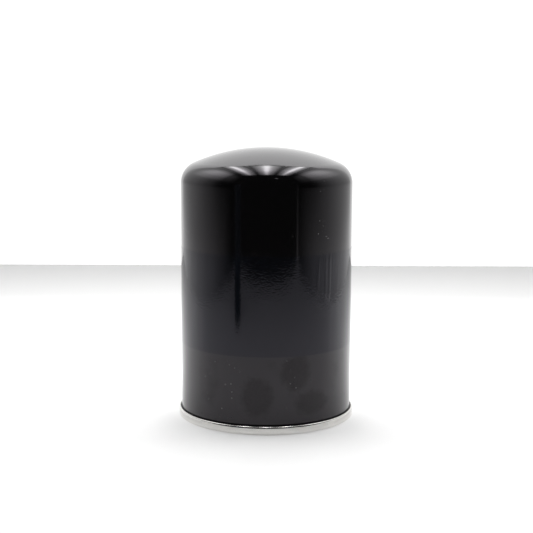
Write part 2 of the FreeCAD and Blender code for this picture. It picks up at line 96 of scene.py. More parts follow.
# --- Node graphs ---
class NodeGraph:
    """A material's node tree, with short calls for the nodes that finishes use."""

    def __init__(self, name: str) -> None:
        """Starts a material whose patterns read the piece's own coordinates.

        Args:
            name: The material's name.
        """
        self.material = bpy.data.materials.new(name)
        self.material.use_nodes = True
        self.nodes = self.material.node_tree.nodes
        self.links = self.material.node_tree.links
        self.shader = self.nodes["Principled BSDF"]
        self.place = self.nodes.new("ShaderNodeTexCoord").outputs["Object"]

    def join(self, source: Value, target: Socket) -> None:
        """Links a socket to an input, or sets the input's own value.

        Args:
            source: The socket, number or vector.
            target: The input.
        """
        if isinstance(source, Socket):
            self.links.new(source, target)
        else:
            target.default_value = source

    def node(self, kind: str, inputs: Inputs, output: str | int = 0, **settings: str) -> Socket:
        """Adds a node.

        Args:
            kind: The node's type, without its common start.
            inputs: A number, vector or socket for each named or numbered input.
            output: The output to hand back.
            settings: The node's own options.

        Returns:
            The output's socket.
        """
        node = self.nodes.new(f"ShaderNode{kind}")
        for name, value in settings.items():
            setattr(node, name, value)
        for name, value in inputs.items():
            self.join(value, node.inputs[name])
        return node.outputs[output]

    def stretched(self, scale: Triple, shift: Triple = (0, 0, 0)) -> Socket:
        """Coordinates scaled along each axis.

        Args:
            scale: Factor along X, Y and Z.
            shift: Offset in metres, added after scaling.

        Returns:
            The mapped coordinates.
        """
        return self.node("Mapping", {"Vector": self.place, "Scale": scale, "Location": shift})

    def noise(
        self,
        size: float,
        detail: float = 2.0,
        rough: float = 0.5,
        where: Socket | None = None,
        kind: NoiseKind = NoiseKind.FINE,
    ) -> Socket:
        """A noise pattern.

        Args:
            size: Width of the largest blotches, in metres.
            detail: Number of finer octaves.
            rough: Strength of each finer octave.
            where: Coordinates to read, or None for the piece's own.
            kind: How the octaves add up.

        Returns:
            The pattern's value, near 0.5 on average.
        """
        inputs = {"Vector": where or self.place, "Scale": 1 / size, "Detail": detail, "Roughness": rough}
        return self.node("TexNoise", inputs, noise_type=kind.value)

    def cells(self, size: float, where: Socket | None = None, jitter: float = 1.0) -> Socket:
        """Distance to the nearest of a field of scattered points.

        Args:
            size: Spacing of the points, in metres.
            where: Coordinates to read, or None for the piece's own.
            jitter: How far the points stray from a grid.

        Returns:
            The distance, in spacings.
        """
        inputs = {"Vector": where or self.place, "Scale": 1 / size, "Randomness": jitter}
        return self.node("TexVoronoi", inputs, "Distance")

    def blot(self, centre: Triple, reach: Triple, ragged: Socket | float = 0.0) -> Socket:
        """A soft-edged patch.

        Args:
            centre: The middle of the patch, in metres.
            reach: Its half-widths along X, Y and Z.
            ragged: A pattern that shifts its edge.

        Returns:
            A share that is 1 in the patch and 0 outside it.
        """
        scale = tuple(1 / r for r in reach)
        shift = tuple(-c / r for c, r in zip(centre, reach))
        away = self.node("VectorMath", {0: self.stretched(scale, shift)}, "Value", operation="LENGTH")
        return self.span(self.maths("ADD", away, ragged), 1.45, 0.95)

    def axis(self, letter: str) -> Socket:
        """One coordinate on its own, in metres."""
        return self.node("SeparateXYZ", {0: self.place}, letter)

    def maths(self, operation: str, a: Socket | float, b: Socket | float = 0.0) -> Socket:
        """The result of one arithmetic operation.

        Args:
            operation: The Math node's operation.
            a: First value or socket.
            b: Second value or socket.

        Returns:
            The result.
        """
        return self.node("Math", {0: a, 1: b}, operation=operation)

    def ramp(self, value: Socket, stops: Stops) -> Socket:
        """A value taken through a piecewise straight curve.

        Args:
            value: The input.
            stops: Pairs of input position, from 0 to 1, and output level.

        Returns:
            The output level.
        """
        node = self.nodes.new("ShaderNodeValToRGB")
        elements = node.color_ramp.elements
        while len(elements) < len(stops):
            elements.new(0.5)
        for element, (at, level) in zip(elements, stops):
            element.position = at
            element.color = (level, level, level, 1.0)
        self.links.new(value, node.inputs["Fac"])
        return node.outputs["Color"]

    def span(self, value: Socket, low: float, high: float, first: float = 0.0, last: float = 1.0) -> Socket:
        """A value remapped from one range to another, and held at its ends.

        Args:
            value: The input.
            low: Input that gives first.
            high: Input that gives last.
            first: Output at low.
            last: Output at high.

        Returns:
            The remapped value.
        """
        inputs = {"Value": value, "From Min": low, "From Max": high, "To Min": first, "To Max": last}
        return self.node("MapRange", inputs, "Result")

    def rough(self, pattern: Socket, middle: float, below: float, above: float) -> Socket:
        """A roughness that strays this far below and above its middle value with a pattern."""
        return self.span(pattern, 0.3, 0.7, middle - below, middle + above)

    def blend(self, share: Socket, first: Socket | Triple, second: Socket | Triple) -> Socket:
        """Two colours mixed.

        Args:
            share: The share of the second colour, from 0 to 1.
            first: The colour at 0.
            second: The colour at 1.

        Returns:
            The mixed colour.
        """
        node = self.nodes.new("ShaderNodeMix")
        node.data_type = "RGBA"
        self.links.new(share, node.inputs["Factor"])
        for name, colour in (("A", first), ("B", second)):
            socket = next(s for s in node.inputs if s.name == name and s.type == "RGBA")
            if isinstance(colour, Socket):
                self.links.new(colour, socket)
            else:
                socket.default_value = (*colour, 1.0)
        return next(s for s in node.outputs if s.type == "RGBA")

    def multiplied(self, colour: Socket, level: Socket) -> Socket:
        """A colour made brighter or darker by a level."""
        return self.node("VectorMath", {0: colour, "Scale": level}, operation="SCALE")

    def bump(self, height: Socket, depth: float, over: Socket | None = None) -> Socket:
        """A surface relief.

        Args:
            height: Pattern of heights from 0 to 1.
            depth: Height of 1, in metres.
            over: A normal that this relief adds to, or None.

        Returns:
            The normal.
        """
        under = {} if over is None else {"Normal": over}
        return self.node("Bump", {"Distance": depth, "Height": height, **under})

    def set(self, **values: Value) -> None:
        """Sets the shader's inputs by name, with _ for a space.

        Args:
            values: Input names with a number, a colour or a socket each.
        """
        for name, value in values.items():
            target = self.shader.inputs[name.replace("_", " ")]
            if isinstance(value, tuple) and len(value) == 3 and target.type == "RGBA":
                value = (*value, 1.0)
            self.join(value, target)


# --- Finishes ---
@dataclass(frozen=True)
class Smudge:
    """A place on the can that hands have left dull, with its half-width and half-height."""

    across: float
    height: float
    width: float
    rise: float

    def centre(self, radius: float) -> Triple:
        """The smudge's middle on the front of a can of this radius."""
        return (self.across, -math.sqrt(radius**2 - self.across**2), self.height)


@dataclass(frozen=True)
class GlossPaint:
    """Baked gloss black paint on the drawn can."""

    name: str = "can_paint"
    colour: Triple = (0.0008, 0.0008, 0.0009)
    greasy: Triple = (0.0035, 0.0028, 0.0024)
    tint: Triple = (0.98, 0.93, 1.0)
    roughness: float = 0.085
    peel_size: float = 1.1 * MM
    peel_depth: float = 4e-6
    wave_size: float = 14 * MM
    wave_depth: float = 20e-6
    nib_size: float = 8 * MM
    nib_depth: float = 14e-6
    gloss: float = 0.5
    greasy_gloss: float = 0.36
    greasy_dulling: float = 0.14
    # Dirt and painted shade in the crease: below it the paint keeps only this share of its gloss and takes
    # this roughness, so the recess above the seam shows as a dark line.
    crease: Span = (4.75 * MM, 5.0 * MM)
    crease_shade_and_dirt_gloss: float = 0.12
    crease_shade_and_dirt_roughness: float = 0.45
    speck_size: float = 3.2 * MM
    speck_colour: Triple = (0.12, 0.12, 0.12)
    dusty: Triple = (-26 * MM, -36 * MM, 24 * MM)
    dusty_reach: Triple = (13 * MM, 14 * MM, 15 * MM)
    smudges: tuple[Smudge, ...] = (
        Smudge(15.0 * MM, 31.0 * MM, 6.0 * MM, 7.5 * MM),
        Smudge(-4.5 * MM, 19.0 * MM, 6.5 * MM, 8.0 * MM),
        Smudge(23.0 * MM, 15.0 * MM, 7.0 * MM, 5.0 * MM),
    )
    smudge_depth: float = 14 * MM
    can_radius: float = 45 * MM
    ior: float = 1.47

    def handling(self, graph: NodeGraph) -> Socket:
        """The share of greasy film left by hands.

        Args:
            graph: The paint's node graph.

        Returns:
            The share, from 0 to 1.
        """
        ragged = graph.maths("SUBTRACT", graph.noise(3.5 * MM, 3, 0.6), 0.5)
        film: Socket | float = graph.span(graph.noise(21 * MM, 3, 0.55), 0.6, 0.74, 0.0, 0.7)
        for smudge in self.smudges:
            reach = (smudge.width, self.smudge_depth, smudge.rise)
            patch = graph.blot(smudge.centre(self.can_radius), reach, ragged)
            film = graph.maths("MAXIMUM", film, patch)
        strokes = graph.noise(0.6 * MM, 2, where=graph.stretched((0.55, 0.55, 1.5)))
        return graph.maths("MULTIPLY", film, graph.span(strokes, 0.3, 0.65, 0.6, 1.0))

    def lay(self, graph: NodeGraph) -> None:
        """Paint with a faint orange peel, nibs, hand marks, dust, and dirt with painted shade in the crease
        above the seam.

        Args:
            graph: The material's node graph.
        """
        wave = graph.noise(self.wave_size, 1, where=graph.stretched((1, 1, 0.35)))
        peel = graph.noise(self.peel_size, 2, 0.5)
        nibs = graph.span(graph.cells(self.nib_size), 0.05, 0.02)
        relief = graph.bump(peel, self.peel_depth, graph.bump(wave, self.wave_depth))
        film = self.handling(graph)
        # Painted shade with dirt: the paint goes matt and loses its gloss below the crease's top, darkening
        # the recess above the seam as if it lay in shadow.
        clear_of_crease_shade = graph.span(graph.axis("Z"), *self.crease)
        gloss = graph.span(film, 0.0, 1.0, self.gloss, self.greasy_gloss)
        crease_shade_and_dirt = graph.span(clear_of_crease_shade, 0.0, 1.0, self.crease_shade_and_dirt_gloss, 1.0)
        dull = graph.span(clear_of_crease_shade, 0.0, 1.0, self.crease_shade_and_dirt_roughness, 0.0)
        rough = graph.span(film, 0.0, 1.0, self.roughness, self.roughness + self.greasy_dulling)
        scattered = graph.stretched((1, 1, 1), (0.7, 0.4, 0.1))
        specks = graph.span(graph.cells(self.speck_size, scattered), 0.12, 0.075)
        drift = graph.span(graph.noise(30 * MM), 0.6, 0.64)
        settled = graph.maths("MAXIMUM", graph.blot(self.dusty, self.dusty_reach), drift)
        dust = graph.maths("MULTIPLY", specks, settled)
        colour = graph.blend(film, self.colour, self.greasy)
        graph.set(
            Base_Color=graph.blend(dust, colour, self.speck_colour),
            Specular_Tint=self.tint,
            Roughness=graph.maths("MAXIMUM", rough, dull),
            Normal=graph.bump(nibs, self.nib_depth, relief),
            Specular_IOR_Level=graph.maths("MULTIPLY", gloss, crease_shade_and_dirt),
            IOR=self.ior,
        )


@dataclass(frozen=True)
class LabelFilm:
    """Gloss blue-black printed film with nothing on it."""

    name: str = "label_film"
    colour: Triple = (0.0017, 0.0025, 0.0038)
    faded: Triple = (0.0021, 0.0025, 0.0034)
    tint: Triple = (0.9, 0.87, 1.0)
    roughness: float = 0.035
    peel_size: float = 1.1 * MM
    peel_depth: float = 22e-6
    crease_depth: float = 60e-6
    crinkle: Triple = (31 * MM, -33 * MM, 78 * MM)
    crinkle_reach: Triple = (7 * MM, 9 * MM, 9 * MM)
    crinkle_depth: float = 90e-6
    ripple_size: float = 7 * MM
    ripple_depth: float = 12e-6
    haze: float = 0.05
    ior: float = 1.43

    def lay(self, graph: NodeGraph) -> None:
        """Film with the orange peel of its adhesive, and a crinkled stretch that was pressed down badly.

        Args:
            graph: The material's node graph.
        """
        peel = graph.noise(self.peel_size, 2, 0.55, graph.stretched((1, 1, 1.3)))
        ripple = graph.noise(self.ripple_size, 1)
        crease = graph.noise(5.5 * MM, 1, where=graph.stretched((1, 1, 0.07), (0.013, 0.004, 0)))
        upright = graph.stretched((1, 1, 0.03))
        folds = graph.span(graph.noise(1.6 * MM, 0, where=upright), 0.5, 0.72)
        folds = graph.maths("MULTIPLY", folds, graph.blot(self.crinkle, self.crinkle_reach))
        relief = graph.bump(folds, self.crinkle_depth, graph.bump(crease, self.crease_depth))
        relief = graph.bump(ripple, self.ripple_depth, relief)
        relief = graph.bump(peel, self.peel_depth, relief)
        clouds = graph.noise(24 * MM, 3, 0.6)
        graph.set(
            Base_Color=graph.blend(graph.noise(30 * MM, 2), self.colour, self.faded),
            Specular_Tint=self.tint,
            Roughness=graph.span(clouds, 0.42, 0.7, self.roughness, self.roughness + self.haze),
            Normal=relief,
            IOR=self.ior,
        )


@dataclass(frozen=True)
class ZincPlate:
    """Dull zinc plating on the seaming lid."""

    name: str = "zinc_plate"
    light: Triple = (0.84, 0.825, 0.795)
    dark: Triple = (0.74, 0.73, 0.71)
    # Colour level above the foot, and the heights over which the foot's painted light fades out.
    level_above_painted_light: float = 0.79
    painted_light_span: Span = (1.2 * MM, 2.9 * MM)
    roughness: float = 0.11

    def lay(self, graph: NodeGraph) -> None:
        """Plating with a fine grain, clouds and the rings of the seaming rolls, with painted light near its
        foot.

        Args:
            graph: The material's node graph.
        """
        cloud = graph.noise(9 * MM, 3, 0.55)
        rings = graph.noise(0.3 * MM, 2, 0.6, graph.stretched((0.01, 0.01, 1.0)))
        grain = graph.noise(0.3 * MM, 3, 0.65, graph.stretched((1, 1, 0.4)))
        tone = graph.maths("ADD", graph.maths("MULTIPLY", cloud, 0.45), graph.maths("MULTIPLY", grain, 0.55))
        relief = graph.bump(rings, 1.5e-6, graph.bump(grain, 1.2e-6))
        plating = graph.blend(graph.span(tone, 0.35, 0.65), self.dark, self.light)
        # Painted light: the plating's colour is lighter towards its foot, standing for the seam's brighter
        # reflection of the table.
        painted_foot_light = graph.span(graph.axis("Z"), *self.painted_light_span, 1.0, self.level_above_painted_light)
        graph.set(
            Base_Color=graph.multiplied(plating, painted_foot_light),
            Metallic=1.0,
            Roughness=graph.rough(grain, self.roughness, 0.03, 0.05),
            Normal=relief,
        )


@dataclass(frozen=True)
class PressedSteel:
    """Bare or tinned sheet steel with press marks."""

    name: str
    light: Triple
    dark: Triple
    roughness: float
    grain_size: float = 0.5 * MM
    stain: Triple = (0.22, 0.18, 0.13)
    stained: float = 0.0

    def lay(self, graph: NodeGraph) -> None:
        """Steel with cloudy oxide, fine grain and, where asked for, a brown film of old oil.

        Args:
            graph: The material's node graph.
        """
        cloud = graph.noise(6 * MM, 4, 0.6)
        grain = graph.noise(self.grain_size, 3, 0.65, graph.stretched((1, 0.35, 1)))
        base = graph.blend(graph.span(cloud, 0.35, 0.68), self.dark, self.light)
        film = graph.maths("MULTIPLY", graph.span(graph.noise(9 * MM, 3, 0.6), 0.5, 0.72), self.stained)
        graph.set(
            Base_Color=graph.blend(film, base, self.stain),
            Metallic=1.0,
            Roughness=graph.rough(grain, self.roughness, 0.06, 0.1),
            Normal=graph.bump(grain, 4e-6),
        )


@dataclass(frozen=True)
class MouldedRubber:
    """Nitrile rubber."""

    name: str
    colour: Triple
    worn: Triple
    roughness: float
    ior: float = 1.5

    def lay(self, graph: NodeGraph) -> None:
        """Rubber with a matt skin, a pale bloom and fine moulding texture.

        Args:
            graph: The material's node graph.
        """
        bloom = graph.span(graph.noise(4 * MM, 4, 0.65), 0.45, 0.75)
        skin = graph.noise(0.3 * MM, 3, 0.6)
        graph.set(
            Base_Color=graph.blend(bloom, self.colour, self.worn),
            Roughness=graph.rough(skin, self.roughness, 0.08, 0.1),
            Normal=graph.bump(skin, 8e-6),
            IOR=self.ior,
        )


@dataclass(frozen=True)
class FilterPaper:
    """Resin-bonded filter paper."""

    name: str = "filter_paper"
    light: Triple = (0.78, 0.6, 0.27)
    dark: Triple = (0.6, 0.42, 0.16)

    def lay(self, graph: NodeGraph) -> None:
        """Paper with fibres, uneven resin and the small dimples that space its pleats.

        Args:
            graph: The material's node graph.
        """
        fibre = graph.noise(0.35 * MM, 4, 0.75, graph.stretched((1, 1, 0.3)))
        resin = graph.noise(8 * MM, 3, 0.6)
        dimple = graph.span(graph.cells(4 * MM, jitter=0.15), 0.1, 0.32)
        tone = graph.maths("ADD", graph.maths("MULTIPLY", resin, 0.6), graph.maths("MULTIPLY", fibre, 0.4))
        relief = graph.bump(dimple, 60e-6, graph.bump(fibre, 40e-6))
        graph.set(
            Base_Color=graph.blend(graph.span(tone, 0.35, 0.65), self.dark, self.light),
            Roughness=graph.span(resin, 0.3, 0.7, 0.72, 0.92),
            Normal=relief,
        )


@dataclass(frozen=True)
class CastAdhesive:
    """Cured plastisol that holds the pleats in their caps."""

    name: str
    colour: Triple
    deep: Triple
    roughness: float

    def lay(self, graph: NodeGraph) -> None:
        """Adhesive with flow marks and a few burst bubbles.

        Args:
            graph: The material's node graph.
        """
        flow = graph.noise(5 * MM, 3, 0.5)
        bubbles = graph.span(graph.cells(2.2 * MM), 0.07, 0.16)
        relief = graph.bump(bubbles, 90e-6, graph.bump(flow, 60e-6))
        graph.set(
            Base_Color=graph.blend(graph.span(flow, 0.3, 0.7), self.deep, self.colour),
            Roughness=graph.rough(flow, self.roughness, 0.1, 0.1),
            Normal=relief,
        )


@dataclass(frozen=True)
class GlassFilledNylon:
    """Moulded nylon of the bypass valve."""

    name: str = "valve_plastic"
    colour: Triple = (0.03, 0.03, 0.032)
    fibre: Triple = (0.08, 0.08, 0.08)

    def lay(self, graph: NodeGraph) -> None:
        """Nylon with short glass fibres showing at its skin.

        Args:
            graph: The material's node graph.
        """
        strands = graph.noise(0.3 * MM, 2, 0.6, graph.stretched((1, 4, 1)), NoiseKind.RIDGED)
        graph.set(
            Base_Color=graph.blend(graph.span(strands, 0.5, 1.2), self.colour, self.fibre),
            Roughness=graph.span(strands, 0.2, 1.2, 0.42, 0.6),
            Normal=graph.bump(strands, 6e-6),
        )


OuterFinish = GlossPaint | LabelFilm | ZincPlate | PressedSteel
InnerFinish = MouldedRubber | FilterPaper | CastAdhesive | GlassFilledNylon
Finish = OuterFinish | InnerFinish

PLATE_STEEL = PressedSteel("plate_steel", (0.5, 0.49, 0.47), (0.33, 0.32, 0.31), 0.34, stained=0.35)
TINPLATE = PressedSteel("cap_steel", (0.68, 0.67, 0.65), (0.5, 0.49, 0.48), 0.28)
TUBE_STEEL = PressedSteel("tube_steel", (0.55, 0.54, 0.53), (0.4, 0.39, 0.38), 0.36, stained=0.15)
SPRING_WIRE = PressedSteel("spring_steel", (0.2, 0.195, 0.19), (0.1, 0.1, 0.1), 0.3, 0.3 * MM)
GASKET_RUBBER = MouldedRubber("gasket_rubber", (0.006, 0.006, 0.006), (0.02, 0.02, 0.019), 0.42)
MEMBRANE_RUBBER = MouldedRubber("membrane_rubber", (0.01, 0.01, 0.01), (0.035, 0.034, 0.032), 0.55)
SEAM_PASTE = CastAdhesive("seam_compound", (0.28, 0.25, 0.2), (0.16, 0.14, 0.11), 0.6)
POTTING = CastAdhesive("adhesive", (0.45, 0.23, 0.09), (0.3, 0.13, 0.05), 0.45)


# --- Mesh making ---
@dataclass(frozen=True)
class Corner:
    """One corner of a turned section, with the radius that rounds it."""

    r: float
    z: float
    bend: float = 0.0


Section = list[Corner]


class Turning:
    """A mesh turned about the filter's axis from a closed section."""

    STEPS = 256
    ARC_STEP = math.radians(7.5)
    SHARP = math.radians(38)

    @classmethod
    def outline(cls, bm: Mesh, section: Section) -> None:
        """Draws a section in a mesh as a loop of edges with its corners rounded.

        Args:
            bm: The mesh to draw in.
            section: The corners in order.
        """
        verts = [bm.verts.new((c.r, 0, c.z)) for c in section]
        bm.faces.new(verts)
        places = [v.co.copy() for v in verts]
        for i, (vert, corner) in enumerate(zip(verts, section)):
            into = (places[i] - places[i - 1]).normalized()
            out = (places[(i + 1) % len(places)] - places[i]).normalized()
            turn = into.angle(out)
            if corner.bend and turn > 0.01:
                bmesh.ops.bevel(
                    bm,
                    geom=[vert],
                    offset=corner.bend * math.tan(turn / 2),
                    offset_type="OFFSET",
                    segments=max(2, math.ceil(turn / cls.ARC_STEP)),
                    profile=0.5,
                    affect="VERTICES",
                    material=-1,
                )
        bmesh.ops.delete(bm, geom=list(bm.faces), context="FACES_ONLY")
        axis = [e for e in bm.edges if all(v.co.x < 1e-7 for v in e.verts)]
        bmesh.ops.delete(bm, geom=axis, context="EDGES")

    @classmethod
    def solid(cls, section: Section, steps: int | None = None, angle: float = TURN) -> Mesh:
        """Turns a closed section about the axis.

        Args:
            section: The corners in order.
            steps: Facets round the axis, or None for the usual number.
            angle: How far to turn, a full turn if left out.

        Returns:
            The turned mesh.
        """
        bm = bmesh.new()
        cls.outline(bm, section)
        full = abs(angle - TURN) < 1e-9
        bmesh.ops.spin(
            bm,
            geom=list(bm.verts) + list(bm.edges),
            cent=(0, 0, 0),
            axis=(0, 0, 1),
            angle=angle,
            steps=steps or cls.STEPS,
            use_merge=full,
        )
        bmesh.ops.remove_doubles(bm, verts=bm.verts, dist=1e-7)
        return bm

    @classmethod
    def helix(cls, bm: Mesh, end: Faces, climb: float, turns: int, steps: int) -> None:
        """Winds a face into a helix about the axis.

        Args:
            bm: The face's mesh.
            end: The face, in a list.
            climb: Rise of each step.
            turns: Number of turns.
            steps: Steps in a turn.
        """
        way = {"cent": (0, 0, 0), "axis": (0, 0, 1), "dvec": (0, 0, climb)}
        bmesh.ops.spin(bm, geom=end, angle=TURN * turns, steps=steps * turns, **way)

    @classmethod
    def sheet(cls, path: Section, thickness: float) -> Section:
        """The section of a bent strip of sheet metal.

        Args:
            path: The strip's middle line, with the bend of each inner corner.
            thickness: The sheet's thickness.

        Returns:
            The closed section.
        """
        sides: list[Section] = []
        points = [Vector((c.r, c.z)) for c in path]
        for side in (thickness / 2, -thickness / 2):
            line: Section = []
            for i, corner in enumerate(path):
                near = points[max(i - 1, 0) : i + 2]
                ways = [(b - a).normalized() for a, b in zip(near, near[1:])]
                normals = [Vector((-w.y, w.x)) for w in ways]
                middle = sum(normals, Vector((0, 0))).normalized()
                reach = side / middle.dot(normals[0])
                turn = ways[0].cross(ways[-1])
                bend = corner.bend - math.copysign(side, turn * side) if corner.bend else thickness * 0.3
                place = points[i] + middle * reach
                line.append(Corner(place.x, place.y, bend))
            sides.append(line)
        return sides[0] + sides[1][::-1]


def finish_mesh(bm: Mesh, name: str) -> Thing:
    """Turns a mesh under construction into an object of the scene, shaded smooth up to its hard edges.

    Args:
        bm: The mesh, which this call frees.
        name: The piece's name.

    Returns:
        The new object.
    """
    bmesh.ops.recalc_face_normals(bm, faces=bm.faces)
    for face in bm.faces:
        face.smooth = True
    for edge in bm.edges:
        edge.smooth = len(edge.link_faces) == 2 and edge.calc_face_angle() < Turning.SHARP
    mesh = bpy.data.meshes.new(name)
    bm.to_mesh(mesh)
    bm.free()
    piece = bpy.data.objects.new(name, mesh)
    bpy.context.scene.collection.objects.link(piece)
    return piece


def carve(blank: Thing, tool: Thing) -> None:
    """Cuts one object out of another, and removes the tool.

    Args:
        blank: The object that keeps its name.
        tool: The object to cut with.
    """
    cut = blank.modifiers.new("cut", "BOOLEAN")
    cut.operation, cut.solver, cut.object = "DIFFERENCE", "EXACT", tool
    bpy.context.view_layer.update()
    graph = bpy.context.evaluated_depsgraph_get()
    carved = bpy.data.meshes.new_from_object(blank.evaluated_get(graph))
    blank.modifiers.remove(cut)
    old, blank.data = blank.data, carved
    carved.name = blank.name
    bpy.data.meshes.remove(old)
    bpy.data.meshes.remove(tool.data)


@dataclass
class Piece:
    """A visible piece that stands for one CAD node."""

    node: str
    body: Body
    finish: Finish

    def dress(self, bm: Mesh) -> Thing:
        """Makes the object, paints it, and puts it on its body in place of the CAD node.

        Args:
            bm: The piece's mesh, which this call frees.

        Returns:
            The finished object.
        """
        piece = finish_mesh(bm, f"{self.node}_skin")
        self.paint(piece)
        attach(piece, self.body.value)
        return piece

    def paint(self, piece: Thing) -> None:
        """Gives a piece its finish, and hides the CAD node that it stands for.

        Args:
            piece: The object to paint.
        """
        piece.data.materials.clear()
        piece.data.materials.append(Paintbox.mix(self.finish))
        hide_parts(self.node)
        LOG.info("%s: %d faces, on %s", piece.name, len(piece.data.polygons), self.body.value)

    def stretch(self, bm: Mesh, ends: Ends, low: float, high: float) -> Thing:
        """Makes a piece in the part's own frame, with its transform baked into its mesh.

        Args:
            bm: The piece's mesh, which this call frees.
            ends: The bodies that the piece would follow at its first and last height; not used.
            low: Height at and beyond which it would follow the first body; not used.
            high: Height at and beyond which it would follow the second body; not used.

        Returns:
            The finished object.
        """
        piece = finish_mesh(bm, f"{self.node}_skin")
        self.paint(piece)
        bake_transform(piece)
        return piece


class Paintbox:
    """The materials made so far, so that pieces with one finish share it."""

    mixed: dict[str, Material] = {}

    @classmethod
    def mix(cls, finish: Finish) -> Material:
        """The material of a finish, made once.

        Args:
            finish: The finish.

        Returns:
            Its material.
        """
        if finish.name not in cls.mixed:
            graph = NodeGraph(finish.name)
            finish.lay(graph)
            cls.mixed[finish.name] = graph.material
        return cls.mixed[finish.name]


# --- Can, label and seam ---
@dataclass
class Can:
    """The drawn can, its label and the rolled seam at its foot."""

    radius: float = 45.0 * MM
    height: float = 141.5 * MM
    sheet: float = 0.4 * MM
    knuckle: float = 11.5 * MM
    dome: float = 94.4 * MM
    hook_radius: float = 45.89 * MM
    hook_top: float = 3.3 * MM
    foot: float = 0.72 * MM
    neck_swell: float = 0.27 * MM
    neck_lean: float = math.radians(24)
    neck_z: float = 4.85 * MM
    neck_bends: Span = (0.3 * MM, 1.35 * MM)
    neck_top: float = 7 * MM
    wall_rings: Span = (25 * MM, 1.5 * MM)
    knuckle_steps: int = 22
    dome_steps: int = 40
    label_low: float = 39.4 * MM
    label_high: float = 89.8 * MM
    film: float = 0.08 * MM
    film_edge: float = 0.03 * MM
    glue: float = 0.004 * MM
    lap: float = math.radians(8)
    lap_steps: int = 8
    lap_rise_steps: int = 5
    lap_gap: float = 0.01 * MM
    lid_sheet: float = 0.38 * MM
    lid_path_mm: tuple[tuple[float, ...], ...] = (
        (45.48, 1.3),
        (45.48, 3.98, 0.41),
        (46.04, 3.98, 0.22),
        (46.3, 3.38, 1.3),
        (46.3, 0.23, 0.04),
        (44.66, 0.23, 0.6),
        (44.66, 2.79, 0.8),
        (36.09, 2.79, 0.9),
        (36.09, 5.59, 0.7),
        (30.61, 5.59, 0.5),
        (30.61, 1.39, 0.6),
        (28.8, 1.39),
    )

    def dome_line(self, inset: float) -> Section:
        """The corners of the upper wall, the knuckle and the dome, from the wall to the axis.

        Args:
            inset: How far inside the outer surface.

        Returns:
            The open line of corners.
        """
        sphere, bend = self.dome - inset, self.knuckle - inset
        centre = self.height - self.dome
        across = self.radius - self.knuckle
        rise = centre + math.sqrt((self.dome - self.knuckle) ** 2 - across**2)
        lean = math.atan2(rise - centre, across)
        line: Section = [Corner(across + bend, rise - below) for below in self.wall_rings]
        for i in range(self.knuckle_steps + 1):
            a = lean * i / self.knuckle_steps
            line.append(Corner(across + bend * math.cos(a), rise + bend * math.sin(a)))
        for i in range(1, self.dome_steps + 1):
            a = lean + (math.pi / 2 - lean) * i / self.dome_steps
            r = sphere * math.cos(a) if i < self.dome_steps else 0.0
            line.append(Corner(max(0.0, r), centre + sphere * math.sin(a)))
        return line

    def shell(self) -> Section:
        """The can's whole section, from its hook up the outside and down the inside.

        Returns:
            The closed section.
        """
        half = self.sheet / 2
        wall, neck = self.radius - half, self.radius + self.neck_swell - half
        curl = (self.hook_radius - neck) / 2
        neck_foot = self.neck_z - self.neck_swell / math.tan(self.neck_lean)
        hook = [
            Corner(self.hook_radius, self.hook_top),
            Corner(self.hook_radius, self.foot, curl),
            Corner(neck, self.foot, curl),
            Corner(neck, neck_foot, self.neck_bends[0]),
            Corner(wall, self.neck_z, self.neck_bends[1]),
            Corner(wall, self.neck_top),
        ]
        flange = Turning.sheet(hook, self.sheet)
        near, far = flange[: len(hook)], flange[len(hook) :][::-1]
        inside, outside = (near, far) if near[-1].r < far[-1].r else (far, near)
        up = [Corner(c.r, c.z, c.bend if c is not outside[-1] else 0.0) for c in outside]
        down = [Corner(c.r, c.z, c.bend if c is not inside[-1] else 0.0) for c in inside]
        return up + self.dome_line(0.0) + self.dome_line(self.sheet)[::-1] + down[::-1]

    def make_can(self) -> None:
        """Builds the painted can."""
        Piece("housing_can", Body.HOUSING, GlossPaint()).dress(Turning.solid(self.shell()))

    def make_label(self) -> None:
        """Builds the label as one film that laps over its own start at the back."""
        inner, outer = self.radius + self.glue, self.radius + self.film
        edge = self.film_edge
        section = [
            Corner(inner, self.label_low, edge / 2),
            Corner(outer, self.label_low, edge),
            Corner(outer, self.label_low + 5 * edge),
            Corner(outer, self.label_high - 5 * edge),
            Corner(outer, self.label_high, edge),
            Corner(inner, self.label_high, edge / 2),
        ]
        steps = Turning.STEPS + self.lap_steps
        bm = Turning.solid(section, steps, TURN + self.lap)
        bmesh.ops.holes_fill(bm, edges=[e for e in bm.edges if e.is_boundary])
        start = math.pi / 2 - self.lap / 2
        bmesh.ops.rotate(bm, verts=bm.verts, cent=(0, 0, 0), matrix=Matrix.Rotation(start, 3, "Z"))
        self.lift_lap(bm, steps)
        Piece("label_band", Body.HOUSING, LabelFilm()).dress(bm)

    def lift_lap(self, bm: Mesh, steps: int) -> None:
        """Raises the film's last stretch over its first.

        Args:
            bm: The film, made in order round the can.
            steps: The number of facets it was turned with.
        """
        ring = len(bm.verts) // (steps + 1)
        verts = list(bm.verts)
        last = Turning.STEPS - self.lap_steps // 2
        for i in range(last, steps + 1):
            share = min(1.0, (i - last) / self.lap_rise_steps)
            for vert in verts[i * ring : (i + 1) * ring]:
                flat = Vector((vert.co.x, vert.co.y, 0))
                vert.co += flat.normalized() * (self.film + self.lap_gap) * share * share * (3 - 2 * share)

    def make_lid(self) -> None:
        """Builds the plated lid with its seam, panel and gasket groove."""
        path = [Corner(*(value * MM for value in corner)) for corner in self.lid_path_mm]
        section = Turning.sheet(path, self.lid_sheet)
        Piece("seaming_lid", Body.HOUSING, ZincPlate()).dress(Turning.solid(section))

    def build(self) -> None:
        """Builds every piece of the outside."""
        self.make_can()
        self.make_label()
        self.make_lid()


